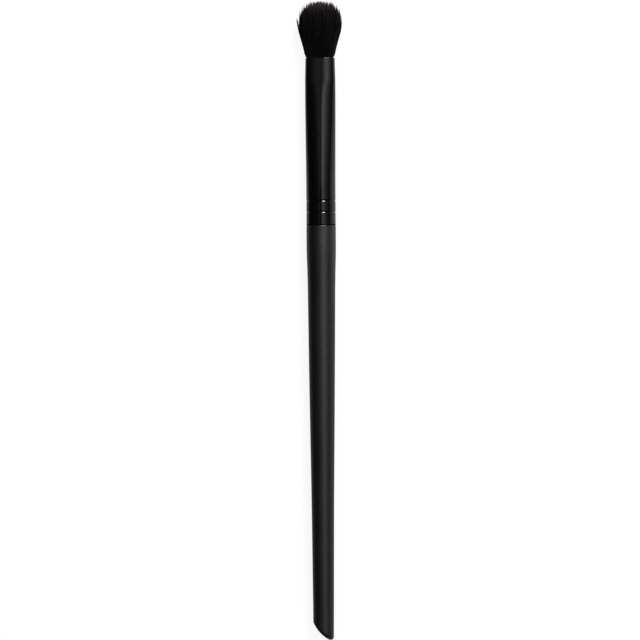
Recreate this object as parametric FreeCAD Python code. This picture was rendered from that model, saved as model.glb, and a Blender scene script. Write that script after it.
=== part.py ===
# Eyeshadow blending brush: a turned wooden handle with a slanted, softly crowned tail, a thin
# crimped metal ferrule that is round at the handle and pressed flat at its mouth, and a domed
# tuft of bristles that is tied and glued inside the ferrule.
#
# Frame, in millimetres: the brush lies on its side. Its axis runs along Y, with the bristles
# towards +Y and the tail towards -Y. X runs across the flat sides of the ferrule, and +Z is up.
# The origin is on the surface that the brush lies on, under the middle of its length.
#
# Each piece is first built with its axis on the Y axis and the tail's end at y = 0. The
# function laid_down then moves it into the frame above.

import FreeCAD
import Part

import math
import os

# Lengths along the brush, from the tail's end to the bristle tips
HANDLE_LENGTH = 113.7
FERRULE_LENGTH = 45.9
TUFT_LENGTH = 15.4

# Ferrule: a thin drawn tube, round over the handle and pressed to an oval at its mouth
FERRULE_DIAMETER = 8.06
FERRULE_WALL = 0.25
MOUTH_WIDTH = 8.07
MOUTH_THICKNESS = 4.85
PINCH_WIDTH = 8.33
PINCH_THICKNESS = 5.0
PINCH_LENGTH = 6.0
MOUTH_ROUND = 0.15
FOOT_ROUND = 0.1

# Two grooves rolled into the ferrule, which bite into the handle's tenon
CRIMP_FIRST = 3.6
CRIMP_SPACING = 3.1
CRIMP_WIDTH = 0.8
CRIMP_DEPTH = 0.12
COLLAR_PAST_CRIMPS = 3.2
TENON_PAST_CRIMPS = 2.2

# Handle, flush with the ferrule where they meet. Its tail diameter is that of the turned
# blank's end, which the slanted face takes off.
SHOULDER_ROUND = 0.2
LAND_LENGTH = 6.0
TENON_CHAMFER = 0.6
TENON_CLEARANCE = 0.15
TAIL_DIAMETER = 5.57

# Slanted face of the tail, high on the -X side and running down to a blunt tip on the +X side
FACE_ANGLE = math.radians(49.5)
FACE_CROWN_RADIUS = 11.2
FACE_EDGE_ROUND = 0.85

# Bristle tuft. Its bristles gather into locks, with a shallow furrow between each two.
TUFT_WIDTH = 11.9
TUFT_THICKNESS = 8.3
DOME_HEIGHT = 5.1
TIPS_FLAT = 0.5
TUFT_IN_RIM = 0.1
LOCK_COUNT = 10
LOCK_DEPTH = 0.4
POINTS_PER_LOCK = 8
ROOT_LENGTH = 12.0
ROOT_CLEARANCE = 0.05

# Thread that ties the bristle roots, and the glue that pots them and fills round the tenon
THREAD_THICKNESS = 0.35
THREAD_WIDTH = 1.6
ROOT_PAST_THREAD = 1.5
PLUG_LENGTH = 4.5
GLUE_GAP = 0.02

# How much every cutting block overruns what it cuts, and how closely seams must meet
OVERRUN = 1.0
SEAM_CLOSENESS = 1e-5

# Weight of an oval's corner control points: an exact ellipse, and the fuller oval of the mouth
ELLIPSE_WEIGHT = math.sqrt(0.5)
PINCH_WEIGHT = 1.4

# How the ferrule turns from the pressed oval into the round tube. Each row is a control oval:
# its place from the pinch to the collar, then how far its width, its thickness and its
# roundness have gone from the pinch's to the collar's.
PRESS_SHARES = (
    (0.00, 0.00, 0.00, 0.00),
    (0.05, 0.00, 0.01, 0.60),
    (0.13, 0.00, 0.04, 0.90),
    (0.26, 0.00, 0.12, 1.00),
    (0.45, 0.30, 0.34, 1.00),
    (0.65, 0.62, 0.62, 1.00),
    (0.85, 0.86, 0.90, 1.00),
    (0.94, 1.00, 1.00, 1.00),
    (1.00, 1.00, 1.00, 1.00),
)

# How the tuft spreads above the mouth: height, then how far its width and thickness have gone
# from the mouth's to the widest section's, then its roundness, then the depth of the furrows
SPREAD_SHARES = (
    (0.00, 0.00, 0.00, 0.00),
    (0.06, 0.08, 0.20, 0.00),
    (0.20, 0.31, 0.55, 0.20),
    (0.38, 0.56, 1.00, 0.60),
    (0.56, 0.79, 1.00, 0.90),
    (0.78, 0.96, 1.00, 1.00),
    (1.00, 1.00, 1.00, 1.00),
)

# Sections of the dome: the angle up its curve as a share of a quarter turn, and the depth of
# the furrows there
DOME_SHARES = ((0.17, 1.00), (0.34, 1.00), (0.51, 0.90), (0.67, 0.60), (0.81, 0.30), (0.92, 0.10))

# How the handle narrows: distance from the land to the tail's end, and the narrowing there
TAPER_SHARES = ((0.00, 0.00), (0.04, 0.080), (0.14, 0.250), (0.25, 0.335),
                (0.45, 0.540), (0.63, 0.745), (0.82, 0.885), (1.00, 1.00))

# Worked out from the sizes above
COLLAR_RADIUS = FERRULE_DIAMETER / 2
BORE_RADIUS = COLLAR_RADIUS - FERRULE_WALL
TENON_RADIUS = BORE_RADIUS - TENON_CLEARANCE
LAND_RADIUS = COLLAR_RADIUS
TAIL_RADIUS = TAIL_DIAMETER / 2
CRIMP_HEIGHTS = (CRIMP_FIRST, CRIMP_FIRST + CRIMP_SPACING)
COLLAR_LENGTH = CRIMP_FIRST + CRIMP_SPACING + COLLAR_PAST_CRIMPS
TENON_LENGTH = CRIMP_FIRST + CRIMP_SPACING + TENON_PAST_CRIMPS
JOINT_Y = HANDLE_LENGTH
COLLAR_TOP_Y = JOINT_Y + COLLAR_LENGTH
MOUTH_Y = JOINT_Y + FERRULE_LENGTH
PINCH_Y = MOUTH_Y - PINCH_LENGTH
BLANK_END_Y = -TAIL_RADIUS
WIDEST_Y = MOUTH_Y + TUFT_LENGTH - DOME_HEIGHT
TIPS_Y = MOUTH_Y + TUFT_LENGTH
ROOT_END_Y = MOUTH_Y - ROOT_LENGTH
THREAD_LOW_Y = ROOT_END_Y + ROOT_PAST_THREAD
THREAD_HIGH_Y = THREAD_LOW_Y + THREAD_WIDTH
AXIS_HEIGHT = max(LAND_RADIUS, TUFT_THICKNESS / 2)

ORIGIN = FreeCAD.Vector(0, 0, 0)
Y_AXIS = FreeCAD.Vector(0, 1, 0)
Z_AXIS = FreeCAD.Vector(0, 0, 1)
FULL_TURN = 360


# Outlines that are turned about the axis

def point(radius, y):
    return FreeCAD.Vector(radius, y, 0)


def line(start, end):
    return Part.LineSegment(start, end).toShape()


def smooth_curve(points, start_direction, end_direction):
    curve = Part.BSplineCurve()
    curve.interpolate(Points=points, InitialTangent=start_direction, FinalTangent=end_direction)
    return curve.toShape()


def corner_arc(centre, radius, start_angle, end_angle):
    """An arc in the outline's plane, between two angles in degrees from the +X direction."""
    circle = Part.Circle(centre, Z_AXIS, radius)
    return Part.ArcOfCircle(circle, math.radians(start_angle), math.radians(end_angle)).toShape()


def turned(edges):
    """The solid that a closed outline sweeps when it turns once about the axis."""
    outline = Part.Wire(Part.sortEdges(edges)[0])
    return Part.Face(outline).revolve(ORIGIN, Y_AXIS, FULL_TURN)


def crimped_side(radius, y_low, y_high):
    """The outline of a round wall from y_low up to y_high, with a smooth dent at each crimp."""
    edges = []
    here = point(radius, y_low)
    for height in CRIMP_HEIGHTS:
        middle_y = JOINT_Y + height
        start = point(radius, middle_y - CRIMP_WIDTH / 2)
        middle = point(radius - CRIMP_DEPTH, middle_y)
        end = point(radius, middle_y + CRIMP_WIDTH / 2)
        edges.append(line(here, start))
        edges.append(smooth_curve([start, middle, end], Y_AXIS, Y_AXIS))
        here = end
    edges.append(line(here, point(radius, y_high)))
    return edges


# Ovals across the axis, and the solids that they bound

def between(start, end, share):
    return start + (end - start) * share


def oval_row(y, width, thickness, weight):
    """The closed ring of control points of one oval, four corners between four sides."""
    half_x = width / 2
    half_z = thickness / 2
    steps = ((1, 0), (1, 1), (0, 1), (-1, 1), (-1, 0), (-1, -1), (0, -1), (1, -1), (1, 0))
    poles = [FreeCAD.Vector(half_x * x, y, half_z * z) for x, z in steps]
    weights = [weight if x and z else 1 for x, z in steps]
    return poles, weights


def even_knots(count, degree):
    """Knots, with how often each is repeated, of a curve that starts and ends on its poles."""
    inner = count - degree - 1
    knots = [float(index) for index in range(inner + 2)]
    repeats = [degree + 1] + [1] * inner + [degree + 1]
    return knots, repeats


def oval_skin(rows, degree, row_weights=None):
    """A surface through the first and last of the control ovals and drawn towards the rest."""
    poles = []
    weights = []
    for index, row in enumerate(rows):
        ring, ring_weights = oval_row(*row)
        row_weight = row_weights[index] if row_weights else 1
        poles.append(ring)
        weights.append([row_weight * weight for weight in ring_weights])
    along_knots, along_repeats = even_knots(len(rows), degree)
    around_knots = [float(index) for index in range(5)]
    around_repeats = [3, 2, 2, 2, 3]
    surface = Part.BSplineSurface()
    surface.buildFromPolesMultsKnots(poles, along_repeats, around_repeats, along_knots,
                                     around_knots, False, False, degree, 2, weights)
    return surface.toShape()


def closed_solid(skin, cap_heights):
    """The solid inside a skin whose open ends, at the given heights, get flat caps."""
    faces = [skin]
    for y in cap_heights:
        rim = [edge for edge in skin.Edges if lies_at(edge, y)]
        faces.append(Part.Face(Part.Wire(rim)))
    solid = Part.Solid(Part.Shell(faces))
    solid.fix(SEAM_CLOSENESS, SEAM_CLOSENESS, SEAM_CLOSENESS)
    return solid


def lies_at(edge, y):
    """True if the whole edge lies in the plane across the brush at y."""
    box = edge.BoundBox
    near = 10 * SEAM_CLOSENESS
    return abs(box.YMin - y) < near and abs(box.YMax - y) < near


def slab(y_low, y_high):
    """A block that holds all of the brush from y_low to y_high."""
    half = max(TUFT_WIDTH, TUFT_THICKNESS, PINCH_WIDTH, 2 * LAND_RADIUS)
    corner = FreeCAD.Vector(-half, y_low, -half)
    return Part.makeBox(2 * half, y_high - y_low, 2 * half, corner)


# Ferrule

def pressed_form(inset):
    """The pressed part of the tube as a solid, drawn in on every side by inset."""
    inset_sides = 2 * inset
    mouth = (MOUTH_Y, MOUTH_WIDTH - inset_sides, MOUTH_THICKNESS - inset_sides, PINCH_WEIGHT)
    pinch = (PINCH_Y, PINCH_WIDTH - inset_sides, PINCH_THICKNESS - inset_sides, PINCH_WEIGHT)
    rows = []
    for place, width_share, thickness_share, round_share in PRESS_SHARES:
        y = between(PINCH_Y, COLLAR_TOP_Y, place)
        width = between(PINCH_WIDTH, FERRULE_DIAMETER, width_share) - inset_sides
        thickness = between(PINCH_THICKNESS, FERRULE_DIAMETER, thickness_share) - inset_sides
        weight = between(PINCH_WEIGHT, ELLIPSE_WEIGHT, round_share)
        rows.append((y, width, thickness, weight))
    flats = closed_solid(oval_skin([mouth, pinch], 1), [MOUTH_Y, PINCH_Y])
    turn_to_round = closed_solid(oval_skin(rows, 3), [PINCH_Y, COLLAR_TOP_Y])
    return flats.fuse(turn_to_round)


def make_collar():
    """The round lower part of the ferrule, with the two rolled grooves."""
    foot_high_y = JOINT_Y + FOOT_ROUND
    foot_in = COLLAR_RADIUS - FOOT_ROUND
    outside = crimped_side(COLLAR_RADIUS, foot_high_y, COLLAR_TOP_Y)
    inside = crimped_side(BORE_RADIUS, JOINT_Y, COLLAR_TOP_Y)
    top = line(point(BORE_RADIUS, COLLAR_TOP_Y), point(COLLAR_RADIUS, COLLAR_TOP_Y))
    foot = line(point(BORE_RADIUS, JOINT_Y), point(foot_in, JOINT_Y))
    rounding = corner_arc(point(foot_in, foot_high_y), FOOT_ROUND, -90, 0)
    return turned(outside + inside + [top, foot, rounding])


def make_ferrule():
    tube = pressed_form(0).cut(pressed_form(FERRULE_WALL))
    ferrule = tube.fuse(make_collar())
    mouth_edges = [edge for edge in ferrule.Edges if lies_at(edge, MOUTH_Y)]
    outer_edge = max(mouth_edges, key=lambda edge: edge.Length)
    return ferrule.makeFillet(MOUTH_ROUND, [outer_edge])


# Handle and the glue that holds it

def face_crossing():
    """Where the crowned face crosses the axis, so that the blunt tip ends at y = 0. The tip's
    rounding is a circle that touches the tail's side and the crown from the inside."""
    crown_x = FACE_CROWN_RADIUS * math.cos(FACE_ANGLE)
    crown_y = FACE_CROWN_RADIUS * math.sin(FACE_ANGLE)
    across = TAIL_RADIUS - FACE_EDGE_ROUND - crown_x
    reach = math.sqrt((FACE_CROWN_RADIUS - FACE_EDGE_ROUND) ** 2 - across ** 2)
    return FACE_EDGE_ROUND - crown_y + reach


def beyond_face():
    """The material that the slanted face takes off the tail."""
    down = FreeCAD.Vector(math.sin(FACE_ANGLE), -math.cos(FACE_ANGLE), 0)
    outward = FreeCAD.Vector(-math.cos(FACE_ANGLE), -math.sin(FACE_ANGLE), 0)
    middle = point(0, face_crossing())
    half = TAIL_DIAMETER
    drop = FACE_CROWN_RADIUS - math.sqrt(FACE_CROWN_RADIUS ** 2 - half ** 2)
    heel = middle - down * half - outward * drop
    toe = middle + down * half - outward * drop
    clear = outward * (drop + TAIL_DIAMETER + OVERRUN)
    crown = Part.Arc(heel, middle, toe).toShape()
    outline = [crown, line(toe, toe + clear), line(toe + clear, heel + clear),
               line(heel + clear, heel)]
    face = Part.Face(Part.Wire(outline))
    depth = TAIL_RADIUS + OVERRUN
    face.translate(-Z_AXIS * depth)
    return face.extrude(Z_AXIS * (2 * depth))


def tenon_outline():
    """From the shoulder up the tenon's side, over its chamfer and in to the axis."""
    top_y = JOINT_Y + TENON_LENGTH
    side = crimped_side(TENON_RADIUS, JOINT_Y, top_y - TENON_CHAMFER)
    chamfer_in = point(TENON_RADIUS - TENON_CHAMFER, top_y)
    chamfer = line(point(TENON_RADIUS, top_y - TENON_CHAMFER), chamfer_in)
    return side + [chamfer, line(chamfer_in, point(0, top_y))]


def taper_outline(land_y, end_y):
    """The long side of the handle, from the land down to the blank's end."""
    points = []
    for place, narrowing in TAPER_SHARES:
        y = between(land_y, end_y, place)
        points.append(point(between(LAND_RADIUS, TAIL_RADIUS, narrowing), y))
    last_step = points[-1] - points[-2]
    return smooth_curve(points, -Y_AXIS, last_step)


def make_handle():
    land_y = JOINT_Y - LAND_LENGTH
    shoulder_in = LAND_RADIUS - SHOULDER_ROUND
    shoulder_y = JOINT_Y - SHOULDER_ROUND
    shoulder = line(point(TENON_RADIUS, JOINT_Y), point(shoulder_in, JOINT_Y))
    rounding = corner_arc(point(shoulder_in, shoulder_y), SHOULDER_ROUND, 0, 90)
    land = line(point(LAND_RADIUS, shoulder_y), point(LAND_RADIUS, land_y))
    taper = taper_outline(land_y, BLANK_END_Y)
    end = line(point(TAIL_RADIUS, BLANK_END_Y), point(0, BLANK_END_Y))
    axis = line(point(0, BLANK_END_Y), point(0, JOINT_Y + TENON_LENGTH))
    blank = turned(tenon_outline() + [shoulder, rounding, land, taper, end, axis])
    handle = blank.cut(beyond_face())
    rim = max(handle.Faces, key=lambda face: -face.CenterOfMass.y).OuterWire
    return handle.makeFillet(FACE_EDGE_ROUND, rim.Edges)


def make_handle_glue():
    """The film of glue between the tenon and the ferrule, as long as the tenon's side."""
    high_y = JOINT_Y + TENON_LENGTH - TENON_CHAMFER
    low_y = JOINT_Y + GLUE_GAP
    outer_radius = BORE_RADIUS - GLUE_GAP
    inner_radius = TENON_RADIUS + GLUE_GAP
    outside = crimped_side(outer_radius, low_y, high_y)
    inside = crimped_side(inner_radius, low_y, high_y)
    low = line(point(inner_radius, low_y), point(outer_radius, low_y))
    high = line(point(inner_radius, high_y), point(outer_radius, high_y))
    return turned(outside + inside + [low, high])


# Bristles and what holds them

def oval_point(turn, weight):
    """The point of an oval of half width and half thickness 1, at a turn counted in quarters."""
    quarter = math.floor(turn)
    step = turn - quarter
    corner = 2 * weight * step * (1 - step)
    total = (1 - step) ** 2 + corner + step ** 2
    near = ((1 - step) ** 2 + corner) / total
    far = (corner + step ** 2) / total
    start = quarter * math.pi / 2
    return (near * math.cos(start) - far * math.sin(start),
            near * math.sin(start) + far * math.cos(start))


def lock_section(y, width, thickness, weight, furrow):
    """The closed outline of the tuft at y, drawn in by the furrow between its locks."""
    count = LOCK_COUNT * POINTS_PER_LOCK
    points = []
    for index in range(count):
        x, z = oval_point(4 * index / count, weight)
        x *= width / 2
        z *= thickness / 2
        wave = (1 - math.cos(2 * math.pi * index / POINTS_PER_LOCK)) / 2
        share = 1 - furrow * wave / math.hypot(x, z)
        points.append(FreeCAD.Vector(x * share, y, z * share))
    curve = Part.BSplineCurve()
    curve.interpolate(Points=points, PeriodicFlag=True)
    return Part.Wire(curve.toShape())


def spread_sections():
    """Outlines from just inside the ferrule up to where the tuft is widest."""
    inset_sides = 2 * (FERRULE_WALL + ROOT_CLEARANCE + TUFT_IN_RIM)
    mouth_width = MOUTH_WIDTH - inset_sides
    mouth_thickness = MOUTH_THICKNESS - inset_sides
    sections = [lock_section(MOUTH_Y - OVERRUN, mouth_width, mouth_thickness, PINCH_WEIGHT, 0)]
    for place, spread_share, round_share, furrow_share in SPREAD_SHARES:
        y = between(MOUTH_Y, WIDEST_Y, place)
        width = between(mouth_width, TUFT_WIDTH, spread_share)
        thickness = between(mouth_thickness, TUFT_THICKNESS, spread_share)
        weight = between(PINCH_WEIGHT, ELLIPSE_WEIGHT, round_share)
        sections.append(lock_section(y, width, thickness, weight, LOCK_DEPTH * furrow_share))
    return sections


def dome_sections():
    """Outlines of the rounded head, up to the small flat on top."""
    sections = []
    for angle_share, furrow_share in DOME_SHARES:
        angle = angle_share * math.pi / 2
        y = WIDEST_Y + DOME_HEIGHT * math.sin(angle)
        width = TUFT_WIDTH * math.cos(angle)
        thickness = TUFT_THICKNESS * math.cos(angle)
        furrow = LOCK_DEPTH * furrow_share
        sections.append(lock_section(y, width, thickness, ELLIPSE_WEIGHT, furrow))
    sections.append(lock_section(TIPS_Y, TIPS_FLAT, TIPS_FLAT, ELLIPSE_WEIGHT, 0))
    return sections


def tuft_head():
    """The bristles above the mouth, with their locks."""
    return Part.makeLoft(spread_sections() + dome_sections(), True, False)


def tuft_root():
    """The bristles inside the ferrule, drawn in where the thread ties them."""
    inset = FERRULE_WALL + ROOT_CLEARANCE
    loose = pressed_form(inset)
    tied = pressed_form(inset + THREAD_THICKNESS)
    low = loose.common(slab(ROOT_END_Y, THREAD_LOW_Y))
    neck = tied.common(slab(THREAD_LOW_Y, THREAD_HIGH_Y))
    high = loose.common(slab(THREAD_HIGH_Y, MOUTH_Y))
    return low.fuse([neck, high])


def make_bristle_tuft():
    return tuft_root().fuse(tuft_head())


def make_binding_thread():
    """The wound thread as one band, in the tuft's neck."""
    band = slab(THREAD_LOW_Y + GLUE_GAP, THREAD_HIGH_Y - GLUE_GAP)
    inset = FERRULE_WALL + ROOT_CLEARANCE
    outside = pressed_form(inset).common(band)
    return outside.cut(pressed_form(inset + THREAD_THICKNESS - GLUE_GAP))


def make_root_glue():
    """The plug of glue that pots the cut ends of the bristles."""
    plug = slab(ROOT_END_Y - GLUE_GAP - PLUG_LENGTH, ROOT_END_Y - GLUE_GAP)
    return pressed_form(FERRULE_WALL + GLUE_GAP).common(plug)


def laid_down(shape):
    """The shape moved from the brush's own axis to where the brush lies."""
    placed = shape.copy()
    placed.translate(FreeCAD.Vector(0, -TIPS_Y / 2, AXIS_HEIGHT))
    return placed


PIECES = {
    "handle": make_handle,
    "handle_glue": make_handle_glue,
    "ferrule": make_ferrule,
    "bristle_tuft": make_bristle_tuft,
    "binding_thread": make_binding_thread,
    "root_glue": make_root_glue,
}

os.makedirs("parts", exist_ok=True)
for name, make_piece in PIECES.items():
    piece = laid_down(make_piece())
    print(name, piece.ShapeType, "valid" if piece.isValid() else "not valid",
          "solids", len(piece.Solids), "volume", round(piece.Volume, 2))
    piece.exportStep(os.path.join("parts", name + ".step"))
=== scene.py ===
# %% [markdown]
# # A brush for blending eyeshadow
#
# The brush has three parts that show: a slim turned handle with a satin black lacquer, a thin
# metal ferrule with a glossy black finish, and a domed tuft of soft bristles. The solid model
# of all its parts is loaded first and stays as it is. It is the frame that every piece below
# is fitted to. Solids can be good at the hard parts and say nothing about hair, so most of the
# modelling here goes into the bristles, and most of the rest is about two black finishes that
# only differ in how they treat light.

import math

import bpy
import numpy as np
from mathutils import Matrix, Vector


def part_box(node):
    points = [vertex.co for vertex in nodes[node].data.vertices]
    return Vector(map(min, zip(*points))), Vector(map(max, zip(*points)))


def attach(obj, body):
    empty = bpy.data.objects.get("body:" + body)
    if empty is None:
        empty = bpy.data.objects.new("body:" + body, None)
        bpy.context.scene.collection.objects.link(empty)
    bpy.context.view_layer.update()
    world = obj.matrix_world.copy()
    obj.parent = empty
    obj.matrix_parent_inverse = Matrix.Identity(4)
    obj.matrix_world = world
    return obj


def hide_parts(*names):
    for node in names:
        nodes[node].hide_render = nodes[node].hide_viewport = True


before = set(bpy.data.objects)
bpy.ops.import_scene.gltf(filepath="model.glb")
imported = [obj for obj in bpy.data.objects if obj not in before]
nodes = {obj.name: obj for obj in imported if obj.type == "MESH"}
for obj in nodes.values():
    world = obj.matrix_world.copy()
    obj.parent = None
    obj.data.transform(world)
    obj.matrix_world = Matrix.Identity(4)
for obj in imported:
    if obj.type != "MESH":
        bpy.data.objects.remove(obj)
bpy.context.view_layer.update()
MM = 0.001

# %% [markdown]
# ## Camera
#
# A product picture of something this long and thin is taken from straight above with a long
# lens, so that the two ends show the same width as they would in a drawing. The distance sets
# how much the near side bulges, and the lens is then worked out so that the brush fills the
# height of a square picture. The brush leans by a third of a degree, so the camera is turned.

# %% Camera above the brush
ferrule_low, ferrule_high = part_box("ferrule")
AXIS_HEIGHT = (ferrule_low.z + ferrule_high.z) / 2
CAMERA_DISTANCE = 1.0
PICTURE_SIDE = 175.55 * MM
CAMERA_X = -0.47 * MM
CAMERA_Y = 0.27 * MM
LEAN = math.radians(0.365)
CLIP = (0.01, 50)

camera_data = bpy.data.cameras.new("camera")
camera_data.lens = camera_data.sensor_width * CAMERA_DISTANCE / PICTURE_SIDE
camera_data.clip_start, camera_data.clip_end = CLIP
camera = bpy.data.objects.new("camera", camera_data)
camera.location = (CAMERA_X, CAMERA_Y, AXIS_HEIGHT + CAMERA_DISTANCE)
camera.rotation_euler = (0, 0, -LEAN)
bpy.context.scene.collection.objects.link(camera)
bpy.context.scene.camera = camera
bpy.context.scene.view_settings.view_transform = "Standard"
print("axis height and lens, mm:", round(AXIS_HEIGHT / MM, 3), round(camera_data.lens, 1))

# %% [markdown]
# ## Small nodes
#
# The lamps, the floor and every finish are trees of small nodes. Each helper here puts one
# node in a tree and returns its output, so that what follows reads like a sum.

# %% Helpers that place one node
def feed(tree, socket, operand):
    """Sets an input to a plain number, or links another node's output to it."""
    if isinstance(operand, (int, float)):
        socket.default_value = operand
    else:
        tree.links.new(operand, socket)


def value_node(tree, operation, first, second=None):
    """A Math node whose operands are outputs or plain numbers. Returns its output."""
    node = tree.nodes.new("ShaderNodeMath")
    node.operation = operation
    feed(tree, node.inputs[0], first)
    if second is not None:
        feed(tree, node.inputs[1], second)
    return node.outputs[0]


def value_mix(tree, share, first, second):
    """Mixes two values, given as outputs or plain numbers. Returns its output."""
    node = tree.nodes.new("ShaderNodeMix")
    feed(tree, node.inputs["Factor"], share)
    feed(tree, node.inputs["A"], first)
    feed(tree, node.inputs["B"], second)
    return node.outputs["Result"]


def range_node(tree, value, low, high, to_low=0.0, to_high=1.0, smooth=True):
    """A step from to_low at low to to_high at high. Returns its output."""
    node = tree.nodes.new("ShaderNodeMapRange")
    if smooth:
        node.interpolation_type = "SMOOTHSTEP"
    for name, number in (("From Min", low), ("From Max", high),
                         ("To Min", to_low), ("To Max", to_high)):
        node.inputs[name].default_value = number
    tree.links.new(value, node.inputs["Value"])
    return node.outputs["Result"]


def even_node(tree, value, *limits):
    """The same step, but with an even slope."""
    return range_node(tree, value, *limits, smooth=False)


def object_place(tree):
    """The surface point in the brush's own frame, in metres."""
    return tree.nodes.new("ShaderNodeTexCoord").outputs["Object"]


def split_place(tree, place):
    """The part of a place across the brush and the part along it."""
    node = tree.nodes.new("ShaderNodeSeparateXYZ")
    tree.links.new(place, node.inputs[0])
    return node.outputs["X"], node.outputs["Y"]


def noise_node(tree, place, scale, detail, roughness=0.5):
    """A noise texture at a place. Returns its value output."""
    node = tree.nodes.new("ShaderNodeTexNoise")
    for name, number in (("Scale", scale), ("Detail", detail), ("Roughness", roughness)):
        node.inputs[name].default_value = number
    tree.links.new(place, node.inputs["Vector"])
    return node.outputs["Fac"]


def cell_node(tree, scale):
    """The distance to the middle of the nearest cell of an irregular pattern."""
    node = tree.nodes.new("ShaderNodeTexVoronoi")
    node.inputs["Scale"].default_value = scale
    tree.links.new(object_place(tree), node.inputs["Vector"])
    return node.outputs["Distance"]


print("helpers that place one node: ready")

# %% [markdown]
# ## Light
#
# Black gloss has almost no colour of its own: what the eye reads as its shape is the picture
# of the lamps in it. So each lamp is there for one line on the brush. A tall soft box on the
# right gives the long bright streak. It is brightest along one line and fades to its far side,
# as a lamp behind cloth does. A low card on the right fills the dark line beside the edge, and
# a dim panel stands on the left. The narrow dark gap between panel and soft box shows as a dark
# line on the ferrule, and a small card closes that gap towards the mouth. A bright lamp beyond
# the tips puts the short glints on the grooves, on the rim and on the handle's shoulder, where
# the surface tips that way. The rest comes from a wide lamp that is kept out of reflections,
# so the left of the brush stays dark while the floor is lit to a plain level.

# %% Soft lamps
LAMP_DISTANCE = 0.8
SLOW_FADE = 3.4
FAINT_SIDE = 0.04
# Name, angle from straight above in degrees, place along the brush, width, length, radiance
# and colour. Places and sizes are in metres.
LAMPS = (
    ("soft_box", 40, 0.15, 1.34, 0.9, 1.12, (0.96, 0.94, 1.0)),
    ("low_card", 84, 0.37, 0.15, 0.7, 0.42, (0.96, 0.95, 1.0)),
    ("left_panel", -30, 0.145, 0.75, 0.79, 0.46, (0.94, 0.95, 1.0)),
    ("gap_card", -2.5, 0.33, 0.10, 0.50, 0.25, (0.95, 0.96, 1.0)),
    ("end_lamp", 25, 0.82, 0.34, 0.2, 40, (1.0, 1.0, 1.0)),
    ("fill_lamp", 0, 0.0, 1.6, 1.6, 0.95, (1.0, 1.0, 1.0)),
)
# Where the brightest line is, whether it is counted from the right, and the strengths at the
# tail's end and at the other end.
SOFT_BOX_FADE = (0.22, False, 0.03, 2.55)
LEFT_PANEL_FADE = (0.08, True, 0.15, 1.0)
END_LAMP_TILT = math.radians(45)


def fade_to_sides(lamp_data, brightest, mirrored, low_end, high_end):
    """Makes an area lamp brightest along one line, with a quick rise before it and a slow fade
    after it. The line's place runs from 0 to 1 across the lamp, from the left unless mirrored.
    The lamp's strength also runs evenly from low_end at the tail's end to high_end."""
    lamp_data.use_nodes = True
    tree = lamp_data.node_tree
    geometry = tree.nodes.new("ShaderNodeNewGeometry")
    across, along = split_place(tree, geometry.outputs["Parametric"])
    if mirrored:
        across = even_node(tree, across, 0, 1, 1, 0)
    rise = range_node(tree, across, 0, brightest)
    fall = value_node(tree, "POWER", even_node(tree, across, 1, brightest), SLOW_FADE)
    lifted = even_node(tree, fall, 0, 1, FAINT_SIDE, 1)
    both = value_node(tree, "MULTIPLY", rise, lifted)
    ends = even_node(tree, along, 0, 1, low_end, high_end)
    tree.links.new(value_node(tree, "MULTIPLY", both, ends),
                   tree.nodes["Emission"].inputs["Strength"])


def soft_lamp(name, angle, along, width, length, radiance, colour):
    """A rectangular lamp over the brush, at an angle in degrees from straight above."""
    data = bpy.data.lights.new(name, "AREA")
    data.shape = "RECTANGLE"
    data.size = width
    data.size_y = length
    data.energy = radiance * math.pi * width * length
    data.color = colour
    lamp = bpy.data.objects.new(name, data)
    turn = math.radians(angle)
    lamp.location = (LAMP_DISTANCE * math.sin(turn), along,
                     AXIS_HEIGHT + LAMP_DISTANCE * math.cos(turn))
    lamp.rotation_euler = (0, turn, 0)
    lamp.visible_camera = False
    bpy.context.scene.collection.objects.link(lamp)
    return lamp


lamps = {values[0]: soft_lamp(*values) for values in LAMPS}
fade_to_sides(lamps["soft_box"].data, *SOFT_BOX_FADE)
fade_to_sides(lamps["left_panel"].data, *LEFT_PANEL_FADE)
lamps["end_lamp"].rotation_euler = (-END_LAMP_TILT, 0, 0)
lamps["fill_lamp"].visible_glossy = False
print("lamps:", list(lamps))

# %% World
ROOM_LIGHT = 0.25
ROOM_IN_GLOSS = 0.015

world = bpy.data.worlds.new("room")
bpy.context.scene.world = world
world.use_nodes = True
tree = world.node_tree
background = tree.nodes["Background"]
background.inputs["Color"].default_value = (1, 1, 1, 1)
path = tree.nodes.new("ShaderNodeLightPath")
unseen = even_node(tree, path.outputs["Is Glossy Ray"], 0, 1, ROOM_LIGHT, ROOM_IN_GLOSS)
tree.links.new(value_mix(tree, path.outputs["Is Camera Ray"], unseen, 1.0),
               background.inputs["Strength"])
print("world light:", ROOM_LIGHT, "in reflections:", ROOM_IN_GLOSS)

# %% [markdown]
# ## Floor
#
# The brush lies on white paper. Most of what the camera sees of the paper is an even white
# that only camera, glossy and transmitted rays see, so it adds no light to the brush. The
# remaining share is ordinary paper, lit by the lamps, and it keeps the soft shadow. The paper
# is also mirrored in the two long edges of the brush. How bright it is there is set apart: it
# runs up from left to right across the brush, as if a dark card stood on the left, and a
# little from the tail towards the mouth.

# %% White floor
FLOOR_SIDE = 12.0
PAPER_SHARE = 0.14
PAPER_COLOUR = (0.94, 0.94, 0.94, 1)
# The places between which the mirrored strength runs up, and the strengths there.
GLOSS_ACROSS = (-26 * MM, -3 * MM, 0.03, 0.62)
GLOSS_ALONG = (0 * MM, 28 * MM, 0.60, 1.0)

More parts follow.
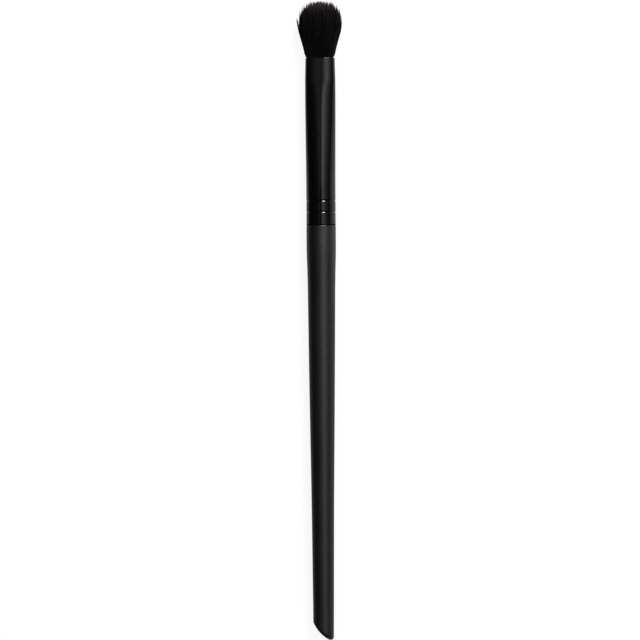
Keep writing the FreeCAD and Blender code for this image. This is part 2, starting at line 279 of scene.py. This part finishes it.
bpy.ops.object.select_all(action="DESELECT")
bpy.ops.mesh.primitive_plane_add(size=FLOOR_SIDE, location=(0, 0, 0))
floor = bpy.context.active_object
floor.name = "floor"
paper = bpy.data.materials.new("white_paper")
paper.use_nodes = True
tree = paper.node_tree
tree.nodes.clear()
output = tree.nodes.new("ShaderNodeOutputMaterial")
lit = tree.nodes.new("ShaderNodeBsdfDiffuse")
lit.inputs["Color"].default_value = PAPER_COLOUR
even = tree.nodes.new("ShaderNodeEmission")
mix = tree.nodes.new("ShaderNodeMixShader")
path = tree.nodes.new("ShaderNodeLightPath")
across, along = split_place(tree, object_place(tree))
mirrored = value_node(tree, "MULTIPLY", even_node(tree, across, *GLOSS_ACROSS),
                      even_node(tree, along, *GLOSS_ALONG))
tree.links.new(value_mix(tree, path.outputs["Is Camera Ray"], mirrored, 1.0),
               even.inputs["Strength"])
straight = value_node(tree, "MAXIMUM", path.outputs["Is Camera Ray"],
                      path.outputs["Is Transmission Ray"])
even_share = value_node(tree, "MAXIMUM", value_node(tree, "MULTIPLY", straight, 1 - PAPER_SHARE),
                        path.outputs["Is Glossy Ray"])
tree.links.new(even_share, mix.inputs["Fac"])
tree.links.new(lit.outputs["BSDF"], mix.inputs[1])
tree.links.new(even.outputs["Emission"], mix.inputs[2])
tree.links.new(mix.outputs["Shader"], output.inputs["Surface"])
floor.data.materials.append(paper)
print("floor side, m:", FLOOR_SIDE)

# %% [markdown]
# ## Effects that the finishes share
#
# Four effects come back in several finishes, so each is a node group that puts out a mask or
# a height. *fine_grain* is the faint unevenness that any sprayed or dipped coat has.
# *rim_wear* marks a band at one height along the brush, broken up by noise, where hands and
# neighbours in the cup rub first. *seam* marks an unbroken band, for a joint that is too
# narrow for light to get into. *dust* scatters sparse specks.

# %% Helpers for node groups
BAND_REACH = 0.5 * MM


def start_group(name, inputs, outputs):
    """An empty node group with value inputs, given with their defaults, and value outputs."""
    group = bpy.data.node_groups.new(name, "ShaderNodeTree")
    for socket_name, default in inputs:
        socket = group.interface.new_socket(name=socket_name, in_out="INPUT",
                                            socket_type="NodeSocketFloat")
        socket.default_value = default
    for socket_name in outputs:
        group.interface.new_socket(name=socket_name, in_out="OUTPUT",
                                   socket_type="NodeSocketFloat")
    source = group.nodes.new("NodeGroupInput")
    sink = group.nodes.new("NodeGroupOutput")
    return group, source, sink


def start_band(name):
    """A group for a band round the brush. Also returns how far off its middle a point is,
    as a share of the band's reach."""
    band_inputs = [("Place", 0.0), ("Reach", BAND_REACH)]
    group, source, sink = start_group(name, band_inputs, ["Mask"])
    across, along = split_place(group, object_place(group))
    away = value_node(group, "SUBTRACT", along, source.outputs["Place"])
    away = value_node(group, "ABSOLUTE", away)
    return group, sink, value_node(group, "DIVIDE", away, source.outputs["Reach"])


print("reach of a band unless a finish sets it, mm:", BAND_REACH / MM)

# %% Fine grain
# Scale, detail and roughness of each noise.
GRAIN_NOISE = (3600, 3, 0.6)
WAVE_NOISE = (260, 1, 0.4)
PATCH_NOISE = (90, 4, 0.65)
PATCH_RANGE = (0.35, 0.7)

fine_grain, source, sink = start_group("fine_grain", [("Waviness", 0.5)], ["Height", "Patches"])
place = object_place(fine_grain)
waves = noise_node(fine_grain, place, *WAVE_NOISE)
swell = value_node(fine_grain, "MULTIPLY", waves, source.outputs["Waviness"])
height = value_node(fine_grain, "ADD", noise_node(fine_grain, place, *GRAIN_NOISE), swell)
patches = range_node(fine_grain, noise_node(fine_grain, place, *PATCH_NOISE), *PATCH_RANGE)
fine_grain.links.new(height, sink.inputs["Height"])
fine_grain.links.new(patches, sink.inputs["Patches"])
print("group:", fine_grain.name)

# %% Wear in a band along the brush
WEAR_NOISE = (2200, 4, 0.7)
WEAR_RANGE = (0.42, 0.62)

rim_wear, sink, off_middle = start_band("rim_wear")
band = range_node(rim_wear, off_middle, 1, 0)
broken = range_node(rim_wear, noise_node(rim_wear, object_place(rim_wear), *WEAR_NOISE),
                    *WEAR_RANGE)
rim_wear.links.new(value_node(rim_wear, "MULTIPLY", band, broken), sink.inputs["Mask"])
print("group:", rim_wear.name)

# %% Seam
SEAM_EDGE = (1.0, 0.6)

seam, sink, off_middle = start_band("seam")
seam.links.new(range_node(seam, off_middle, *SEAM_EDGE), sink.inputs["Mask"])
print("group:", seam.name)

# %% Dust
DUST_CELLS = 620
SPECK_RANGE = (0.055, 0.02)
DUSTY_NOISE = (700, 1)
DUSTY_RANGE = (0.56, 0.6)

dust, source, sink = start_group("dust", [("Amount", 0.5)], ["Mask"])
speck = range_node(dust, cell_node(dust, DUST_CELLS), *SPECK_RANGE)
dusty = range_node(dust, noise_node(dust, object_place(dust), *DUSTY_NOISE), *DUSTY_RANGE)
mask = value_node(dust, "MULTIPLY", value_node(dust, "MULTIPLY", speck, dusty),
                  source.outputs["Amount"])
dust.links.new(mask, sink.inputs["Mask"])
print("group:", dust.name)

# %% Helpers for materials and pieces
# The sockets of a Mix node that hold colours go by number, as others have the same names.
MIX_COLOURS = (6, 7)
MIXED_COLOUR = 2


def start_material(name):
    """A material with a Principled shader. Returns the material, its tree and the shader."""
    material = bpy.data.materials.new(name)
    material.use_nodes = True
    tree = material.node_tree
    return material, tree, tree.nodes["Principled BSDF"]


def place_group(tree, group, **values):
    """Puts a node group in a material with its own values."""
    node = tree.nodes.new("ShaderNodeGroup")
    node.node_tree = group
    for name, value in values.items():
        node.inputs[name].default_value = value
    return node


def colour_mix(tree, share, first, second):
    """Mixes two colours, given as three numbers or as sockets. Returns the colour output."""
    node = tree.nodes.new("ShaderNodeMix")
    node.data_type = "RGBA"
    tree.links.new(share, node.inputs["Factor"])
    for number, colour in zip(MIX_COLOURS, (first, second)):
        if isinstance(colour, tuple):
            node.inputs[number].default_value = (*colour, 1)
        else:
            tree.links.new(colour, node.inputs[number])
    return node.outputs[MIXED_COLOUR]


def add_bump(tree, shader, height, strength, distance):
    """Tilts the shading by a height that changes over the surface."""
    node = tree.nodes.new("ShaderNodeBump")
    node.inputs["Strength"].default_value = strength
    node.inputs["Distance"].default_value = distance
    tree.links.new(height, node.inputs["Height"])
    tree.links.new(node.outputs["Normal"], shader.inputs["Normal"])


def give(piece, material):
    """Makes the material the only one of a piece."""
    piece.data.materials.clear()
    piece.data.materials.append(material)


def select_only(piece):
    """Makes one piece the selected and the active one."""
    bpy.ops.object.select_all(action="DESELECT")
    piece.select_set(True)
    bpy.context.view_layer.objects.active = piece


# %% [markdown]
# ## Handle
#
# The real handle is turned from wood, dipped in black lacquer and rubbed down to a satin. The
# solid already has its long taper and the slanted, crowned tail, so the solid stays and gets
# the finish. Satin is a wide, soft reflection: a middling roughness does it, and patches of
# slightly lower roughness are where fingers have polished it. The rounded shoulder next to the
# ferrule is a little smoother and rubbed in places, so a short glint of light stands on it.

# %% Satin black lacquer
LACQUER_BLACK = (0.0009, 0.0009, 0.0012)
RUBBED_BLACK = (0.004, 0.004, 0.0045)
DUST_COLOUR = (0.10, 0.10, 0.10)
FOOT_Y = ferrule_low.y
SHOULDER_Y = FOOT_Y - 0.1 * MM
SATIN_ROUGHNESS = (0.46, 0.42)
SHOULDER_POLISH = 0.12
LACQUER_IOR = 1.53
GRAIN_BUMP = (0.12, 0.02 * MM)

lacquer, tree, shader = start_material("satin_black_lacquer")
grain = place_group(tree, fine_grain, Waviness=0.6)
wear = place_group(tree, rim_wear, Place=SHOULDER_Y, Reach=0.35 * MM)
polished = place_group(tree, seam, Place=SHOULDER_Y, Reach=0.25 * MM)
specks = place_group(tree, dust, Amount=0.5)
worn = colour_mix(tree, wear.outputs["Mask"], LACQUER_BLACK, RUBBED_BLACK)
tree.links.new(colour_mix(tree, specks.outputs["Mask"], worn, DUST_COLOUR),
               shader.inputs["Base Color"])
satin = range_node(tree, grain.outputs["Patches"], 0, 1, *SATIN_ROUGHNESS)
smoother = value_node(tree, "MULTIPLY", polished.outputs["Mask"], SHOULDER_POLISH)
tree.links.new(value_node(tree, "SUBTRACT", satin, smoother), shader.inputs["Roughness"])
shader.inputs["Specular IOR Level"].default_value = 1.0
shader.inputs["IOR"].default_value = LACQUER_IOR
add_bump(tree, shader, grain.outputs["Height"], *GRAIN_BUMP)
give(nodes["handle"], lacquer)
print("finish:", lacquer.name)

# %% [markdown]
# ## Ferrule
#
# The ferrule is a thin drawn tube, crimped twice over the handle and pressed flat at the
# mouth, then painted gloss black. Drawing leaves very fine lines along the tube that the
# paint softens but doesn't hide. They are noise stretched along the brush. At its foot the tube
# meets the handle in a seam too narrow for light, so a thin ring there reflects nothing, and
# at the mouth the paint is rubbed in places on the very edge of the rim.

# %% Gloss black ferrule
GLOSS_BLACK = (0.0009, 0.0009, 0.0012)
RUBBED_GLOSS = (0.02, 0.02, 0.021)
MOUTH_Y = ferrule_high.y
PLAIN_SPECULAR = 0.5
GLOSS_ROUGHNESS = (0.07, 0.11)
LINE_STRETCH = 0.02
LINE_NOISE = (5200, 3, 0.6)
LINE_BUMP = (0.08, 0.01 * MM)

gloss, tree, shader = start_material("gloss_black_ferrule")
stretch = tree.nodes.new("ShaderNodeMapping")
stretch.inputs["Scale"].default_value = (1, LINE_STRETCH, 1)
tree.links.new(object_place(tree), stretch.inputs["Vector"])
lines = noise_node(tree, stretch.outputs["Vector"], *LINE_NOISE)
grain = place_group(tree, fine_grain, Waviness=1.0)
wear = place_group(tree, rim_wear, Place=MOUTH_Y, Reach=0.12 * MM)
gap = place_group(tree, seam, Place=FOOT_Y, Reach=0.36 * MM)
specks = place_group(tree, dust, Amount=0.6)
worn = colour_mix(tree, wear.outputs["Mask"], GLOSS_BLACK, RUBBED_GLOSS)
tree.links.new(range_node(tree, gap.outputs["Mask"], 0, 1, PLAIN_SPECULAR, 0),
               shader.inputs["Specular IOR Level"])
tree.links.new(colour_mix(tree, specks.outputs["Mask"], worn, DUST_COLOUR),
               shader.inputs["Base Color"])
tree.links.new(range_node(tree, grain.outputs["Patches"], 0, 1, *GLOSS_ROUGHNESS),
               shader.inputs["Roughness"])
add_bump(tree, shader, lines, *LINE_BUMP)
give(nodes["ferrule"], gloss)
print("finish:", gloss.name)

# %% [markdown]
# ## Glue
#
# Two kinds of glue sit inside the ferrule, where nobody sees them until the brush comes apart:
# a film round the handle's tenon, and the plug that pots the bristle roots. Both are amber
# resin with a few small bubbles.

# %% Amber glue
AMBER = (0.30, 0.15, 0.04)
PALE_AMBER = (0.46, 0.28, 0.10)
BUBBLE_CELLS = 1500
BUBBLE_RANGE = (0.3, 0.12)
BUBBLE_BUMP = (0.3, 0.05 * MM)
CLOUD_NOISE = (500, 3)
CLOUD_RANGE = (0.3, 0.7)
GLUE_ROUGHNESS = (0.18, 0.32)

glue, tree, shader = start_material("amber_glue")
bubble = range_node(tree, cell_node(tree, BUBBLE_CELLS), *BUBBLE_RANGE)
clouds = range_node(tree, noise_node(tree, object_place(tree), *CLOUD_NOISE), *CLOUD_RANGE)
tree.links.new(colour_mix(tree, clouds, AMBER, PALE_AMBER), shader.inputs["Base Color"])
tree.links.new(range_node(tree, clouds, 0, 1, *GLUE_ROUGHNESS), shader.inputs["Roughness"])
add_bump(tree, shader, bubble, *BUBBLE_BUMP)
for name in ("handle_glue", "root_glue"):
    give(nodes[name], glue)
print("finish:", glue.name)

# %% [markdown]
# ## Ovals across the brush
#
# The ferrule's mouth is an oval that is fuller than an ellipse, and the tuft opens from it to
# a true ellipse. One rule gives both: each quarter is a curve with a weighted corner point.
# A weight of the square root of a half is an exact ellipse, and a larger one fills the
# corners. The bristles and the thread below both read their places from this rule.

# %% Oval rule
ELLIPSE_WEIGHT = math.sqrt(0.5)
MOUTH_WEIGHT = 1.4
QUARTER = math.pi / 2


def oval(angle, weight):
    """Points of an oval of half width and half thickness 1, at angles round the axis."""
    quarter = np.floor(angle / QUARTER)
    step = angle / QUARTER - quarter
    corner = 2 * weight * step * (1 - step)
    total = (1 - step) ** 2 + corner + step ** 2
    near = ((1 - step) ** 2 + corner) / total
    far = (corner + step ** 2) / total
    turn = quarter * QUARTER
    cosine = np.round(np.cos(turn))
    sine = np.round(np.sin(turn))
    return near * cosine - far * sine, near * sine + far * cosine


print("half way round a quarter, ellipse and mouth:",
      [[round(float(place), 3) for place in oval(np.array(QUARTER / 2), weight)]
       for weight in (ELLIPSE_WEIGHT, MOUTH_WEIGHT)])

# %% [markdown]
# ## Thread
#
# Before the bristles go into the ferrule, their roots are tied with a few turns of strong
# thread and dipped in glue. The solid is one plain band. A real winding is a helix on the
# oval bundle, so it is drawn as a curve, given a round section and made a mesh.

# %% Wound thread
THREAD_DIAMETER = 0.3 * MM
THREAD_TURNS = 5
POINTS_PER_TURN = 40
WINDING_WEIGHT = 0.8
ROUNDNESS = 2

thread_low, thread_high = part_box("binding_thread")
half_x = (thread_high.x - thread_low.x) / 2 - THREAD_DIAMETER / 2
half_z = (thread_high.z - thread_low.z) / 2 - THREAD_DIAMETER / 2
angles = np.linspace(0, THREAD_TURNS * 2 * math.pi, THREAD_TURNS * POINTS_PER_TURN + 1)
ring_x, ring_z = oval(angles, WINDING_WEIGHT)
heights = np.linspace(thread_low.y + THREAD_DIAMETER / 2, thread_high.y - THREAD_DIAMETER / 2,
                      len(angles))
curve = bpy.data.curves.new("wound_thread", "CURVE")
curve.dimensions = "3D"
curve.bevel_depth = THREAD_DIAMETER / 2
curve.bevel_resolution = ROUNDNESS
curve.use_fill_caps = True
spline = curve.splines.new("POLY")
spline.points.add(len(angles) - 1)
for point, x, y, z in zip(spline.points, ring_x * half_x, heights, ring_z * half_z):
    point.co = (x, y, AXIS_HEIGHT + z, 1)
thread = bpy.data.objects.new("wound_thread", curve)
bpy.context.scene.collection.objects.link(thread)
select_only(thread)
bpy.ops.object.convert(target="MESH")
thread = bpy.context.active_object
bpy.ops.object.shade_smooth()
print("thread faces:", len(thread.data.polygons))

# %% Waxed thread finish
THREAD_PALE = (0.34, 0.31, 0.25)
THREAD_DEEP = (0.18, 0.16, 0.12)
TWIST_SCALE = 2600
TWIST_DISTORTION = 1.5
TWIST_BUMP = (0.5, 0.03 * MM)
THREAD_ROUGHNESS = (0.75, 0.55)

waxed, tree, shader = start_material("waxed_thread")
twist = tree.nodes.new("ShaderNodeTexWave")
twist.bands_direction = "DIAGONAL"
twist.inputs["Scale"].default_value = TWIST_SCALE
twist.inputs["Distortion"].default_value = TWIST_DISTORTION
tree.links.new(object_place(tree), twist.inputs["Vector"])
tree.links.new(colour_mix(tree, twist.outputs["Fac"], THREAD_DEEP, THREAD_PALE),
               shader.inputs["Base Color"])
tree.links.new(range_node(tree, twist.outputs["Fac"], 0, 1, *THREAD_ROUGHNESS),
               shader.inputs["Roughness"])
add_bump(tree, shader, twist.outputs["Fac"], *TWIST_BUMP)
give(thread, waxed)
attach(thread, "root")
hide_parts("binding_thread")
print("finish:", waxed.name)

# %% [markdown]
# ## Bristles
#
# The tuft is thousands of tapered synthetic hairs, cut from one bundle and shaped so that
# their tips make a dome. It could be a solid with a hairy texture, or a particle system. The
# first looks like rubber at its edge, and the second leaves no mesh in the exported model.
# So one hair is modelled, and its copies are laid along paths: each runs from the bundle's
# root up through the ferrule, opens out with the tuft and ends at the dome. The solid says how
# wide and how thick the bundle is at each height and where its ten locks part in furrows, and
# the same numbers come back here, so the hairs fill the solid's form. Neighbouring hairs cling
# together at their tips, each small clump a little longer or shorter than the next, which
# gives the fine points round the outline. The dome leans to the right by a hair's breadth.

# %% One hair
HAIR_SIDES = 3
HAIR_RINGS = 11

bpy.ops.object.select_all(action="DESELECT")
bpy.ops.mesh.primitive_cylinder_add(vertices=HAIR_SIDES, radius=1, depth=1,
                                    location=(0, 0, 0.5))
hair = bpy.context.active_object
bpy.ops.object.transform_apply(location=True)
bpy.ops.object.mode_set(mode="EDIT")
bpy.ops.mesh.select_mode(type="EDGE")
bpy.ops.mesh.select_all(action="DESELECT")
bpy.ops.object.mode_set(mode="OBJECT")
# Only the long edges have ends at different heights.
for edge in hair.data.edges:
    ends = [hair.data.vertices[i].co.z for i in edge.vertices]
    edge.select = abs(ends[0] - ends[1]) > 0.5
bpy.ops.object.mode_set(mode="EDIT")
bpy.ops.mesh.subdivide(number_cuts=HAIR_RINGS - 2)
bpy.ops.object.mode_set(mode="OBJECT")
hair_points = np.array([vertex.co for vertex in hair.data.vertices])
hair_faces = [list(face.vertices) for face in hair.data.polygons]
hair_rings = np.rint(hair_points[:, 2] * (HAIR_RINGS - 1)).astype(int)
bpy.data.objects.remove(hair)
print("one hair:", len(hair_points), "points,", len(hair_faces), "faces")

# %% The tuft's form
# Heights are above the ferrule's mouth, in millimetres, and so are the half widths.
tuft_low, tuft_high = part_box("bristle_tuft")
ROOT_LENGTH = (MOUTH_Y - tuft_low.y) / MM
TUFT_LENGTH = (tuft_high.y - MOUTH_Y) / MM
NECK_TOP = -8.9
PINCH_START = -6.0
DOME_HEIGHT = 5.1
WIDEST = TUFT_LENGTH - DOME_HEIGHT
LOCK_COUNT = 10
WIDTH_FORM = ((-ROOT_LENGTH, 3.40), (NECK_TOP, 3.40), (PINCH_START, 3.72), (0.0, 3.69),
              (0.3, 3.95), (0.6, 4.11), (1.2, 4.22), (2.3, 4.44), (3.9, 4.92), (5.0, 5.22),
              (6.6, 5.62), (7.7, 5.82), (9.0, 5.95), (WIDEST, 5.98), (TUFT_LENGTH, 5.90))
DEPTH_FORM = ((-ROOT_LENGTH, 1.80), (NECK_TOP, 1.80), (PINCH_START, 2.12), (0.0, 2.02),
              (0.6, 2.25), (1.2, 2.40), (2.3, 2.68), (3.9, 3.11), (5.0, 3.42), (6.6, 3.80),
              (7.7, 3.98), (9.0, 4.07), (WIDEST, 4.10), (TUFT_LENGTH, 4.05))
ROUND_FORM = ((0.0, MOUTH_WEIGHT), (4.0, ELLIPSE_WEIGHT))
LEAN_FORM = ((6.0, 0.0), (9.0, 0.18), (12.0, 0.22), (TUFT_LENGTH, 0.06))
FURROW_FORM = ((0.6, 0.0), (2.1, 0.08), (3.9, 0.24), (8.0, 0.40), (WIDEST, 0.40),
               (TUFT_LENGTH, 0.1))


def form_at(table, height):
    """The value that a table of heights and values gives at a height."""
    places, values = zip(*table)
    return np.interp(height, places, values)


def hair_places(across, angle, height):
    """Where hairs pass at a height, from their share of the way out and their angle."""
    x, z = oval(angle, form_at(ROUND_FORM, height))
    x = x * form_at(WIDTH_FORM, height)
    z = z * form_at(DEPTH_FORM, height)
    furrow = form_at(FURROW_FORM, height) * (1 - np.cos(LOCK_COUNT * angle)) / 2
    drawn_in = across * (1 - furrow / np.hypot(x, z))
    return drawn_in * x + form_at(LEAN_FORM, height), drawn_in * z


print("half width at the mouth and at the widest:",
      [float(form_at(WIDTH_FORM, height)) for height in (0, WIDEST)])

# %% Where each hair starts and ends
HAIR_COUNT = 8400
CLUMP_COUNT = 320
OUTERMOST = 0.985
SHORTEST = 0.26
RAGGED = 0.24
CLUMP_LIFT = 0.34
CLUMP_PULL = (0.7, 1.0)
TOP_UNEVEN = (-0.15, 0.25)
rng = np.random.default_rng(7)


def on_disk(count, reach):
    """Random places on a disk, as shares of the way out, angles and points."""
    across = np.sqrt(rng.random(count)) * reach
    angle = rng.random(count) * 2 * math.pi
    return across, angle, np.stack([across * np.cos(angle), across * np.sin(angle)], 1)


across, angle, hair_disk = on_disk(HAIR_COUNT, OUTERMOST)
clump_disk = on_disk(CLUMP_COUNT, 1)[2]
apart = ((hair_disk[:, None, :] - clump_disk[None, :, :]) ** 2).sum(2)
clump = apart.argmin(1)
clump_lift = rng.normal(0, CLUMP_LIFT, CLUMP_COUNT)
clump_pull = rng.uniform(*CLUMP_PULL, CLUMP_COUNT)
tip_height = WIDEST - SHORTEST + DOME_HEIGHT * np.sqrt(1 - across ** 2)
tip_height += clump_lift[clump] + rng.exponential(RAGGED, HAIR_COUNT)
tip_height = np.minimum(tip_height, TUFT_LENGTH + rng.uniform(*TOP_UNEVEN, HAIR_COUNT))
print("hairs:", HAIR_COUNT, "in", CLUMP_COUNT, "clumps, tips from", tip_height.min().round(2))

# %% Paths of the hairs
# Heights of the rings under the mouth, and above it as shares of the tip's height.
BELOW_MOUTH = np.array([-ROOT_LENGTH, NECK_TOP, PINCH_START, 0.0])
ABOVE_MOUTH_SHARES = np.array([0.10, 0.26, 0.46, 0.66, 0.83, 0.93, 1.0])
GATHER_FROM = 0.45
WANDER = 0.035
WANDER_POWER = 1.5
GATHER_POWER = 2.5


def ring_heights(tips):
    """The heights of each hair's rings, from the root to its tip."""
    below = np.repeat(BELOW_MOUTH[None, :], len(tips), 0)
    return np.concatenate([below, tips[:, None] * ABOVE_MOUTH_SHARES[None, :]], 1)


ring_height = ring_heights(tip_height)
gather = np.clip(ring_height / tip_height[:, None] - GATHER_FROM, 0, 1) / (1 - GATHER_FROM)
drift = rng.normal(0, WANDER, (HAIR_COUNT, 2))
disk = hair_disk[:, None, :] + drift[:, None, :] * gather[:, :, None] ** WANDER_POWER
to_clump = clump_disk[clump][:, None, :] - disk
disk = disk + to_clump * (clump_pull[clump][:, None] * gather ** GATHER_POWER)[:, :, None]
ring_across = np.minimum(np.hypot(disk[:, :, 0], disk[:, :, 1]), 1.0)
ring_angle = np.arctan2(disk[:, :, 1], disk[:, :, 0]) % (2 * math.pi)
path_x, path_z = hair_places(ring_across, ring_angle, ring_height)
print("widest hair place, mm:", np.abs(path_x).max().round(2), np.abs(path_z).max().round(2))

# %% Hair thickness
# Shares of the hair's length, and its radius there in millimetres.
RADIUS_FORM = ((0.0, 0.040), (0.45, 0.040), (0.70, 0.052), (0.90, 0.044), (0.95, 0.032),
               (1.0, 0.010))
THICKNESS_SPREAD = (0.8, 1.15)


def along_share(heights, tips):
    """How far along its hair each ring is, from 0 at the root to 1 at the tip."""
    return (heights + ROOT_LENGTH) / (tips[:, None] + ROOT_LENGTH)


hair_share = along_share(ring_height, tip_height)
ring_radius = form_at(RADIUS_FORM, hair_share) * rng.uniform(*THICKNESS_SPREAD, (HAIR_COUNT, 1))
print("hair diameter, mm:",
      [round(float(2 * radius), 3) for radius in (ring_radius.min(), ring_radius.max())])

# %% Copies of the hair along the paths
# How much painted light, for light shining through a tip, the tips get at the tuft's sides,
# and between which heights it grows.
PAINTED_LIGHT_FROM = 0.94
SIDE_PAINTED_LIGHT = 0.12
PAINTED_LIGHT_HEIGHTS = (12.6, 15.0)


def lay_hairs(name, chosen, x, height, z, radius, painted_tip_light, tint):
    """One mesh of the chosen hairs, each a copy of the modelled hair along its own path."""
    count = len(chosen)
    spin = rng.random(count) * 2 * math.pi
    corner_x = (hair_points[None, :, 1] * np.cos(spin)[:, None]
                + hair_points[None, :, 0] * np.sin(spin)[:, None])
    corner_z = (hair_points[None, :, 0] * np.cos(spin)[:, None]
                - hair_points[None, :, 1] * np.sin(spin)[:, None])
    at = np.ix_(chosen, hair_rings)
    points = np.stack([(x[at] + corner_x * radius[at]) * MM,
                       MOUTH_Y + height[at] * MM,
                       AXIS_HEIGHT + (z[at] + corner_z * radius[at]) * MM], 2)
    starts = np.concatenate([[0], np.cumsum([len(face) for face in hair_faces])])
    corners = np.concatenate(hair_faces)
    every = np.arange(count)[:, None]
    mesh = bpy.data.meshes.new(name)
    mesh.vertices.add(count * len(hair_points))
    mesh.vertices.foreach_set("co", points.ravel())
    mesh.loops.add(count * len(corners))
    mesh.loops.foreach_set("vertex_index", (corners + every * len(hair_points)).ravel())
    mesh.polygons.add(count * len(hair_faces))
    mesh.polygons.foreach_set("loop_start", (starts[:-1] + every * len(corners)).ravel())
    mesh.update(calc_edges=True)
    own_tint = np.repeat(tint[chosen], len(hair_points))
    # Each point carries how much painted light shines through its tip, and each hair its own
    # shade.
    for label, values in (("painted_tip_light", painted_tip_light[at]), ("tint", own_tint)):
        mesh.attributes.new(label, "FLOAT", "POINT").data.foreach_set(
            "value", np.ascontiguousarray(values, np.float32).ravel())
    piece = bpy.data.objects.new(name, mesh)
    bpy.context.scene.collection.objects.link(piece)
    select_only(piece)
    bpy.ops.object.shade_smooth()
    return piece


def smooth_step(value, low, high):
    """Runs from 0 at low to 1 at high, level at both ends."""
    share = np.clip((value - low) / (high - low), 0, 1)
    return share * share * (3 - 2 * share)


def painted_tip_light_share(share, height):
    """How much painted light, for light shining through the hair, goes into its colour: at the
    tips, and most where the tuft itself thins out.
    """
    on_top = smooth_step(height, *PAINTED_LIGHT_HEIGHTS)
    return smooth_step(share, PAINTED_LIGHT_FROM, 1.0) * (SIDE_PAINTED_LIGHT + (1 - SIDE_PAINTED_LIGHT) * on_top)


tint = rng.random(HAIR_COUNT)
# Painted light: light shining through the tips, painted into their colour.
painted_tip_light = painted_tip_light_share(hair_share, ring_height)
QUARTER_NAMES = ("bristles_front_right", "bristles_front_left",
                 "bristles_back_left", "bristles_back_right")
tuft_pieces = []
for quarter, name in enumerate(QUARTER_NAMES):
    chosen = np.flatnonzero(np.floor(angle / QUARTER) == quarter)
    piece = lay_hairs(name, chosen, path_x, ring_height, path_z, ring_radius, painted_tip_light, tint)
    tuft_pieces.append(piece)
    print(name, len(chosen), "hairs,", len(piece.data.polygons), "faces")

# %% [markdown]
# ## A stray lock
#
# On the left one small lock has sprung out of the dome. It leaves the tuft below the widest
# place and ends a little outside it, with a sliver of daylight between. It is laid with the
# same hair and the same rule, then pushed out along its upper half.

# %% Stray lock
STRAY_COUNT = 60
STRAY_START = 5.6
STRAY_TIP = 10.4
STRAY_TIP_SPREAD = 0.25
STRAY_ACROSS = (0.97, 1.0)
STRAY_FAN = 0.08
STRAY_OUT = 0.62
STRAY_BEND = 1.2
STRAY_FLATTENED = 0.5

stray_tip = rng.normal(STRAY_TIP, STRAY_TIP_SPREAD, STRAY_COUNT)
stray_height = ring_heights(stray_tip)
stray_across = rng.uniform(*STRAY_ACROSS, (STRAY_COUNT, 1))
stray_angle = math.pi + rng.normal(0, STRAY_FAN, (STRAY_COUNT, 1))
stray_x, stray_z = hair_places(stray_across, stray_angle, stray_height)
rise = np.clip((stray_height - STRAY_START) / (STRAY_TIP - STRAY_START), 0, 1)
stray_x = stray_x - STRAY_OUT * rise ** STRAY_BEND
stray_z = stray_z * (1 - STRAY_FLATTENED * rise)
stray_share = along_share(stray_height, stray_tip)
lock = lay_hairs("bristles_stray_lock", np.arange(STRAY_COUNT), stray_x, stray_height, stray_z,
                 form_at(RADIUS_FORM, stray_share), painted_tip_light_share(stray_share, stray_height),
                 rng.random(STRAY_COUNT))
tuft_pieces.append(lock)
print("stray lock reaches x, mm:", stray_x.min().round(2))

# %% [markdown]
# ## Bristle finish
#
# The hair is dyed nearly black. Its tips are painted brown where light shines through them: a
# painted glow of light, a little at every tip and most on top of the dome. Each point of the
# mesh therefore carries a number for how much of this painted light it gets, and the finish
# mixes its two colours by it. A second number gives each hair its own shade, which keeps the
# tuft from looking like one solid, and a slight unevenness along the hair breaks up its shine.

# %% Dyed synthetic hair
HAIR_BLACK = (0.0006, 0.0005, 0.0011)
HAIR_SOFT_BLACK = (0.0016, 0.0014, 0.0026)
# The colour of painted light shining through the thin tips.
HAIR_TIP_PAINTED_LIGHT = (0.075, 0.041, 0.048)
HAIR_SPECULAR = 0.2
SHINE_NOISE = (1800, 2)
SHINE_RANGE = (0.3, 0.7)
HAIR_ROUGHNESS = (0.42, 0.6)
SHINE_BUMP = (0.2, 0.02 * MM)


def attribute_node(tree, name):
    """The value that the mesh carries under a name."""
    node = tree.nodes.new("ShaderNodeAttribute")
    node.attribute_name = name
    return node.outputs["Fac"]


dyed, tree, shader = start_material("dyed_hair")
shader.inputs["Specular IOR Level"].default_value = HAIR_SPECULAR
body_colour = colour_mix(tree, attribute_node(tree, "tint"), HAIR_BLACK, HAIR_SOFT_BLACK)
# The brown tips are painted light shining through them, mixed in by the mesh's number.
tree.links.new(colour_mix(tree, attribute_node(tree, "painted_tip_light"), body_colour, HAIR_TIP_PAINTED_LIGHT),
               shader.inputs["Base Color"])
shine = noise_node(tree, object_place(tree), *SHINE_NOISE)
tree.links.new(range_node(tree, shine, *SHINE_RANGE, *HAIR_ROUGHNESS),
               shader.inputs["Roughness"])
add_bump(tree, shader, shine, *SHINE_BUMP)
for piece in tuft_pieces:
    give(piece, dyed)
    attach(piece, "root")
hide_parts("bristle_tuft")
print("finish:", dyed.name, "on", len(tuft_pieces), "pieces")
